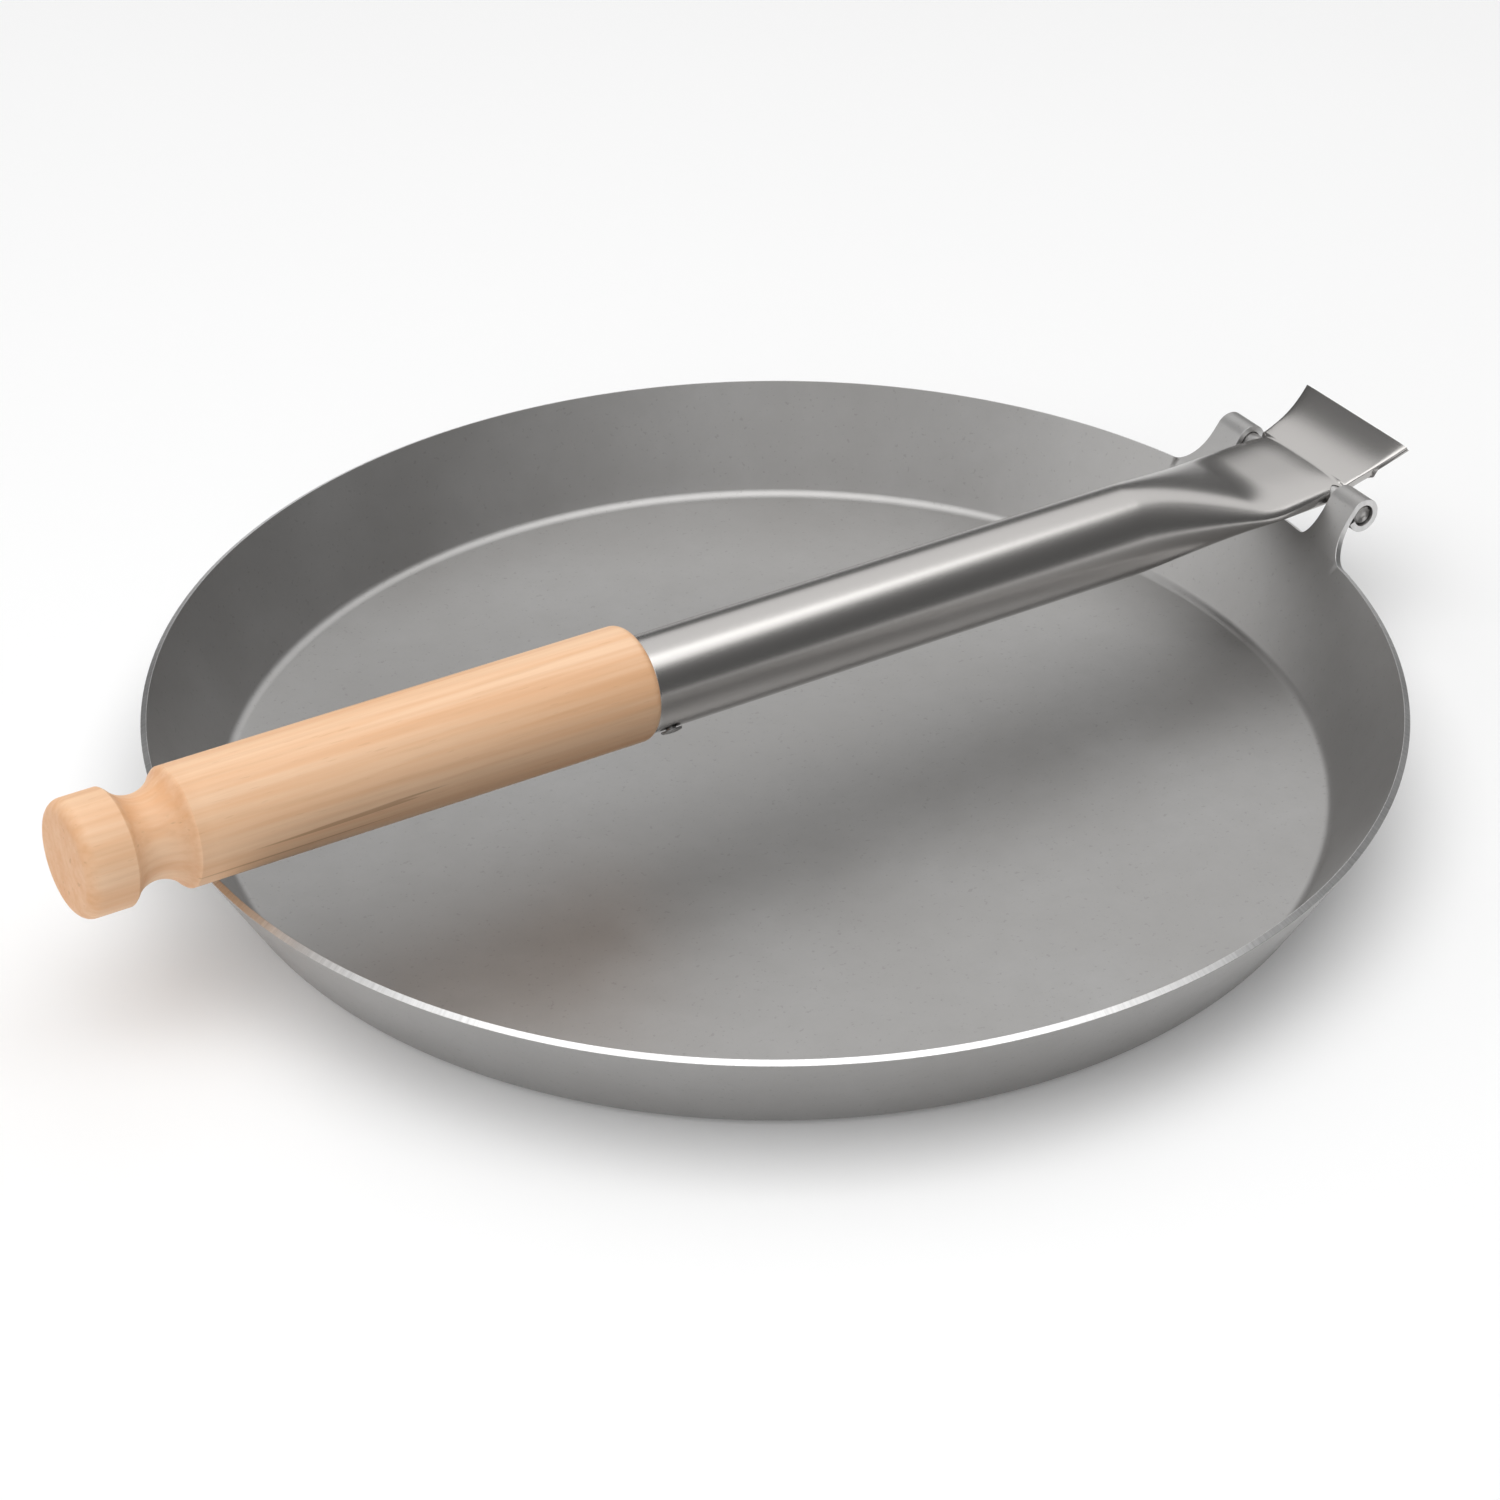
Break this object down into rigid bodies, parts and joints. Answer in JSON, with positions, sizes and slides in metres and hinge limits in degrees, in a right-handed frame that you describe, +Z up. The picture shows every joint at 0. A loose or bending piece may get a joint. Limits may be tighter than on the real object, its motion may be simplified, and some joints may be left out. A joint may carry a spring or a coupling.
{
  "type": "folding-handle frying pan",
  "caption": "Wide shallow steel camp frying pan with a long wood-gripped tube handle that folds over the bowl and opens until its tongue bears on the wall.",
  "frame": {"origin": "centre of the flat underside of the pan", "axes": "+Z up out of the bowl, +X from the centre towards the hinge, +Y along the hinge pin"},
  "size_m": [0.3887, 0.3232, 0.0627],
  "materials": {
    "pan_steel": "satin pressed carbon steel",
    "pin_steel": "cut steel rod",
    "tube_steel": "smooth drawn steel tube",
    "grip_wood": "sanded pale beech, unvarnished",
    "screw_steel": "dull steel"
  },
  "bodies": {
    "pan": {"pan_body": "pan_steel", "hinge_pin": "pin_steel"},
    "handle": {"handle_tube": "tube_steel", "wood_grip": "grip_wood", "grip_screw": "screw_steel"}
  },
  "joints": [
    {"name": "handle_fold", "type": "hinge", "parent": "pan", "child": "handle", "pos_m": [0.1696, 0, 0.0387], "axis": [0, 1, 0], "range_deg": [0, 136]}
  ]
}
